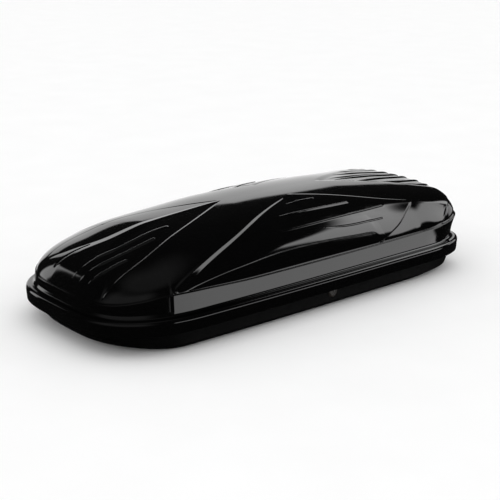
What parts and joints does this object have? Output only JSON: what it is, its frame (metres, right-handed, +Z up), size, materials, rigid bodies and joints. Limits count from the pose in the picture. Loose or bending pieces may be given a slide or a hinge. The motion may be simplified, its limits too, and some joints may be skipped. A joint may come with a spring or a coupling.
{
  "type": "roof cargo box",
  "caption": "Long low hard-shell car roof box: overlapping domed lid hinged along one side, shallow base tray, central lock, folding lid stays and load straps.",
  "frame": {"origin": "centre of the flat underside of the base tray", "axes": "+Y along the length towards the tail, nose at -Y, +X towards the lock side, +Z up"},
  "size_m": [0.91, 1.9519, 0.414],
  "materials": {
    "lid_gloss": "high gloss black",
    "base_plastic": "fine grained black",
    "seal_rubber": "soft sponge rubber",
    "zinc_steel": "zinc plated",
    "rail_aluminium": "extruded, clear anodised",
    "lock_metal": "satin black with a faint warm tint",
    "latch_plastic": "glass filled nylon",
    "fitting_plastic": "moulded",
    "plate_black": "black powder coat",
    "arm_black": "satin black",
    "webbing": "woven polypropylene webbing"
  },
  "bodies": {
    "base": {"base_shell": "base_plastic", "rim_seal": "seal_rubber", "floor_rail_left": "rail_aluminium", "floor_rail_right": "rail_aluminium", "floor_rail_screws": "zinc_steel", "mount_plate_front_left": "plate_black", "mount_plate_front_right": "plate_black", "mount_plate_rear_left": "plate_black", "mount_plate_rear_right": "plate_black", "mount_plate_rivets": "zinc_steel", "hinge_base_leaf_front": "zinc_steel", "hinge_base_leaf_middle": "zinc_steel", "hinge_base_leaf_rear": "zinc_steel", "hinge_base_rivets": "zinc_steel", "hinge_pin_front": "zinc_steel", "hinge_pin_middle": "zinc_steel", "hinge_pin_rear": "zinc_steel", "stay_base_bracket_front": "zinc_steel", "stay_base_bracket_rear": "zinc_steel", "stay_base_pin_front": "zinc_steel", "stay_base_pin_rear": "zinc_steel", "rod_guides": "fitting_plastic", "lock_housing": "lock_metal", "lock_ring_nut": "zinc_steel", "strap_anchors": "zinc_steel", "load_strap_front": "webbing", "load_strap_rear": "webbing", "strap_buckle_front": "fitting_plastic", "strap_buckle_rear": "fitting_plastic"},
    "lid": {"lid_shell": "lid_gloss", "lid_rail_lock_side": "rail_aluminium", "lid_rail_hinge_side": "rail_aluminium", "hinge_lid_leaf_front": "zinc_steel", "hinge_lid_leaf_middle": "zinc_steel", "hinge_lid_leaf_rear": "zinc_steel", "latch_keeper_front": "latch_plastic", "latch_keeper_middle": "latch_plastic", "latch_keeper_rear": "latch_plastic", "stay_lid_bracket_front": "zinc_steel", "stay_lid_bracket_rear": "zinc_steel", "stay_lid_pin_front": "zinc_steel", "stay_lid_pin_rear": "zinc_steel"},
    "stay_lower_front": {"stay_lower_arm_front": "arm_black", "stay_elbow_pin_front": "zinc_steel"},
    "stay_upper_front": {"stay_upper_arm_front": "arm_black"},
    "stay_lower_rear": {"stay_lower_arm_rear": "arm_black", "stay_elbow_pin_rear": "zinc_steel"},
    "stay_upper_rear": {"stay_upper_arm_rear": "arm_black"},
    "lock_rotor": {"lock_plug": "lock_metal", "lock_cam": "zinc_steel", "lock_cam_pin": "zinc_steel"},
    "lock_bar": {"locking_rod": "zinc_steel", "latch_finger_front": "latch_plastic", "latch_finger_middle": "latch_plastic", "latch_finger_rear": "latch_plastic", "latch_finger_rivets": "zinc_steel"}
  },
  "joints": [
    {"name": "lid_hinge", "type": "hinge", "parent": "base", "child": "lid", "pos_m": [-0.437, 0, 0.092], "axis": [0, -1, 0], "range_deg": [0, 50]},
    {"name": "stay_lower_pivot_front", "type": "hinge", "parent": "base", "child": "stay_lower_front", "pos_m": [-0.2, -0.8025, 0.045], "axis": [0, -1, 0], "range_deg": [0, 50]},
    {"name": "stay_elbow_front", "type": "hinge", "parent": "stay_lower_front", "child": "stay_upper_front", "pos_m": [0.04, -0.8025, 0.105], "axis": [0, -1, 0], "range_deg": [-50, 0]},
    {"name": "stay_lower_pivot_rear", "type": "hinge", "parent": "base", "child": "stay_lower_rear", "pos_m": [-0.2, 0.8405, 0.045], "axis": [0, -1, 0], "range_deg": [0, 50]},
    {"name": "stay_elbow_rear", "type": "hinge", "parent": "stay_lower_rear", "child": "stay_upper_rear", "pos_m": [0.04, 0.8405, 0.105], "axis": [0, -1, 0], "range_deg": [-50, 0]},
    {"name": "lock_turn", "type": "hinge", "parent": "base", "child": "lock_rotor", "pos_m": [0.4276, 0.077, 0.066], "axis": [-1, 0, 0], "range_deg": [0, 90]},
    {"name": "locking_rod_slide", "type": "slide", "parent": "base", "child": "lock_bar", "axis": [0, 1, 0], "range_m": [0, 0.02545]}
  ],
  "couplings": [
    {"joint": "stay_lower_pivot_front", "follows": "lid_hinge", "ratio": 1},
    {"joint": "stay_elbow_front", "follows": "lid_hinge", "ratio": -1},
    {"joint": "stay_lower_pivot_rear", "follows": "lid_hinge", "ratio": 1},
    {"joint": "stay_elbow_rear", "follows": "lid_hinge", "ratio": -1},
    {"joint": "lock_turn", "follows": "locking_rod_slide", "rad_per_m": 61.707}
  ]
}
